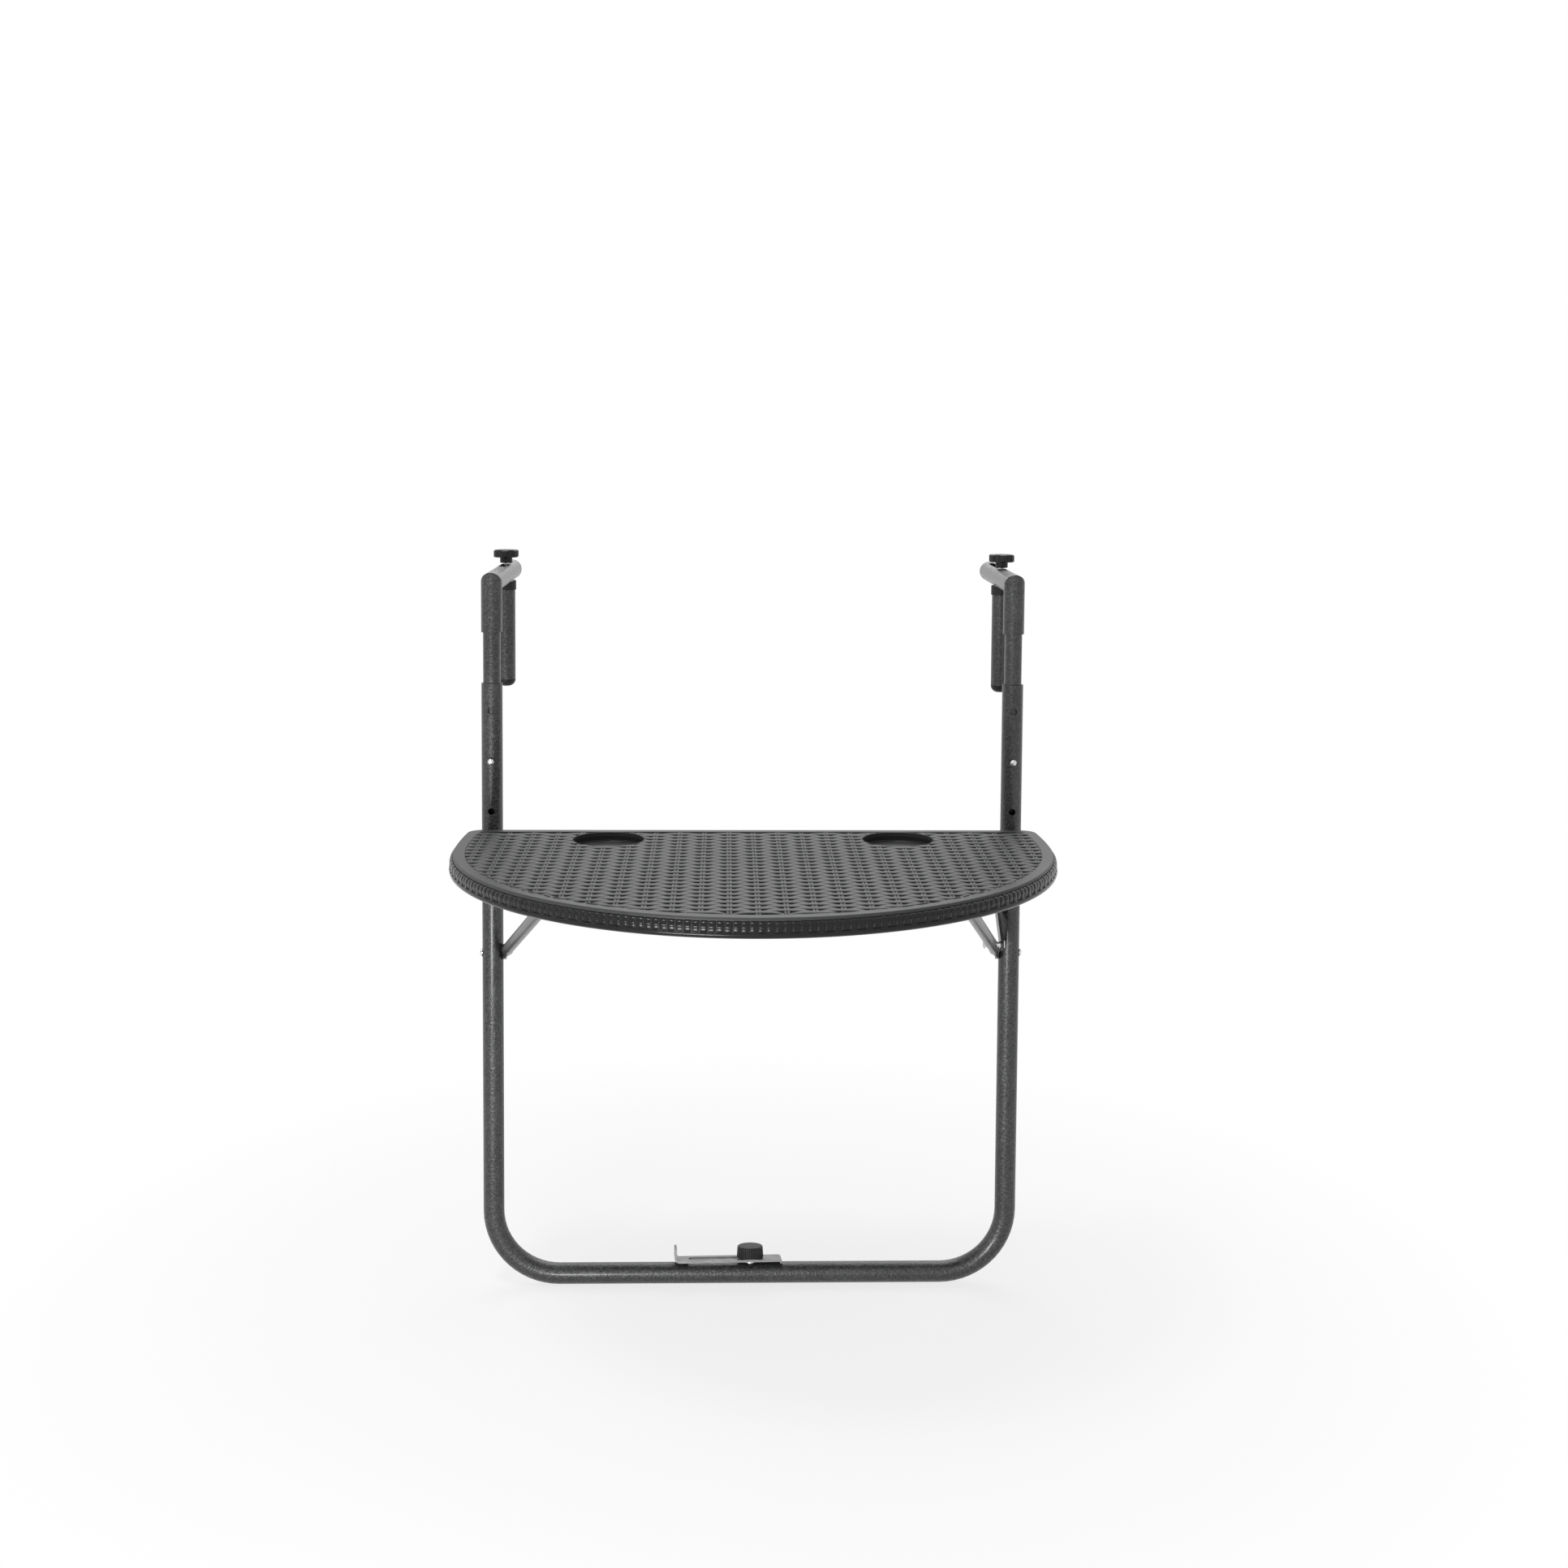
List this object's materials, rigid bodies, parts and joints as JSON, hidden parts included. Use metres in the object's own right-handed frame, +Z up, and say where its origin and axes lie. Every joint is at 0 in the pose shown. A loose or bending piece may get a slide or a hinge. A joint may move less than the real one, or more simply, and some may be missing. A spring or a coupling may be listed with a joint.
{
  "type": "folding balcony railing table",
  "caption": "Half-round folding table hung on a balcony railing by two slotted hooks with clamp posts; folding brace, height-adjustable legs and a standoff at the bottom.",
  "frame": {"origin": "underside of the hook arms, where the rail's top touches them, in the middle plane and in the plane of the two leg axes", "axes": "+Z up, +Y from the user towards the railing's far side, +X to the user's right seen from the table's tip looking at the railing"},
  "size_m": [0.6, 0.6194, 0.7773],
  "materials": {
    "hammertone": "dark grey hammered powder coat",
    "zinc": "bright zinc plated steel",
    "plate_steel": "grey powder coated steel plate",
    "top_plastic": "anthracite moulded plastic with a weave relief",
    "black_plastic": "black moulded plastic"
  },
  "bodies": {
    "frame": {"frame_tube": "hammertone", "top_pivot_rivets": "zinc", "brace_pivot_rivets": "zinc", "lock_stud": "zinc", "standoff_insert": "zinc"},
    "top": {"table_top": "top_plastic", "top_rail": "hammertone", "rail_screws": "zinc", "saddle_screws": "zinc", "brace_saddle_left": "black_plastic", "brace_saddle_right": "black_plastic"},
    "brace": {"brace_tube": "hammertone", "hook_pivot": "zinc"},
    "lock_hook": {"lock_hook": "hammertone"},
    "standoff_pivot": {"standoff_washer": "zinc"},
    "standoff_plate": {"standoff_plate": "plate_steel"},
    "standoff_knob": {"standoff_knob": "black_plastic", "standoff_screw": "zinc"},
    "hook_left": {"hook_arm_left": "hammertone", "hook_sleeve_left": "hammertone", "hook_gusset_left": "hammertone", "inner_tube_left": "hammertone", "arm_cap_left": "black_plastic", "button_spring_left": "zinc"},
    "button_left": {"snap_button_left": "zinc"},
    "clamp_left": {"clamp_post_left": "hammertone", "clamp_saddle_left": "black_plastic", "post_cap_left": "black_plastic", "post_insert_left": "zinc"},
    "knob_left": {"clamp_knob_left": "black_plastic", "clamp_bolt_left": "zinc"},
    "hook_right": {"hook_arm_right": "hammertone", "hook_sleeve_right": "hammertone", "hook_gusset_right": "hammertone", "inner_tube_right": "hammertone", "arm_cap_right": "black_plastic", "button_spring_right": "zinc"},
    "button_right": {"snap_button_right": "zinc"},
    "clamp_right": {"clamp_post_right": "hammertone", "clamp_saddle_right": "black_plastic", "post_cap_right": "black_plastic", "post_insert_right": "zinc"},
    "knob_right": {"clamp_knob_right": "black_plastic", "clamp_bolt_right": "zinc"}
  },
  "joints": [
    {"name": "table_fold", "type": "hinge", "parent": "frame", "child": "top", "pos_m": [0, 0, -0.274], "axis": [1, 0, 0], "range_deg": [0, 90]},
    {"name": "brace_fold", "type": "hinge", "parent": "frame", "child": "brace", "pos_m": [0, 0, -0.38], "axis": [1, 0, 0], "range_deg": [0, 113]},
    {"name": "hook_release", "type": "hinge", "parent": "brace", "child": "lock_hook", "pos_m": [0.2585, -0.05, -0.359], "axis": [1, 0, 0], "range_deg": [0, 122.3]},
    {"name": "hook_slide_left", "type": "slide", "parent": "frame", "child": "hook_left", "axis": [0, 0, 1], "range_m": [-0.053, 0.053], "deforming": ["snap_button_left"]},
    {"name": "button_press_left", "type": "slide", "parent": "hook_left", "child": "button_left", "axis": [0, 1, 0], "range_m": [0, 0.0072], "stiffness_N_per_m": 1500, "springref_m": -0.002, "deforming": ["button_spring_left"]},
    {"name": "clamp_slide_left", "type": "slide", "parent": "hook_left", "child": "clamp_left", "axis": [0, 1, 0], "range_m": [-0.0503, 0.0323]},
    {"name": "clamp_knob_turn_left", "type": "hinge", "parent": "clamp_left", "child": "knob_left", "pos_m": [-0.273, 0.142, 0.02], "axis": [0, 0, 1], "continuous": true},
    {"name": "hook_slide_right", "type": "slide", "parent": "frame", "child": "hook_right", "axis": [0, 0, 1], "range_m": [-0.053, 0.053], "deforming": ["snap_button_right"]},
    {"name": "button_press_right", "type": "slide", "parent": "hook_right", "child": "button_right", "axis": [0, 1, 0], "range_m": [0, 0.0072], "stiffness_N_per_m": 1500, "springref_m": -0.002, "deforming": ["button_spring_right"]},
    {"name": "clamp_slide_right", "type": "slide", "parent": "hook_right", "child": "clamp_right", "axis": [0, 1, 0], "range_m": [-0.0083, 0.0743]},
    {"name": "clamp_knob_turn_right", "type": "hinge", "parent": "clamp_right", "child": "knob_right", "pos_m": [0.273, 0.1, 0.02], "axis": [0, 0, 1], "continuous": true},
    {"name": "standoff_swivel", "type": "hinge", "parent": "frame", "child": "standoff_pivot", "pos_m": [0, 0.00181, -0.71613], "axis": [0, 0.1392, 0.9903], "range_deg": [-94, 20]},
    {"name": "standoff_slide", "type": "slide", "parent": "standoff_pivot", "child": "standoff_plate", "axis": [0.9986, 0.0518, -0.0073], "range_m": [0, 0.058]},
    {"name": "standoff_knob_turn", "type": "hinge", "parent": "frame", "child": "standoff_knob", "pos_m": [0, 0.00313, -0.70672], "axis": [0, 0.1392, 0.9903], "continuous": true}
  ],
  "couplings": [
    {"joint": "brace_fold", "follows": "table_fold", "ratio": 1.2544},
    {"joint": "hook_release", "follows": "table_fold", "ratio": 1.3567}
  ]
}
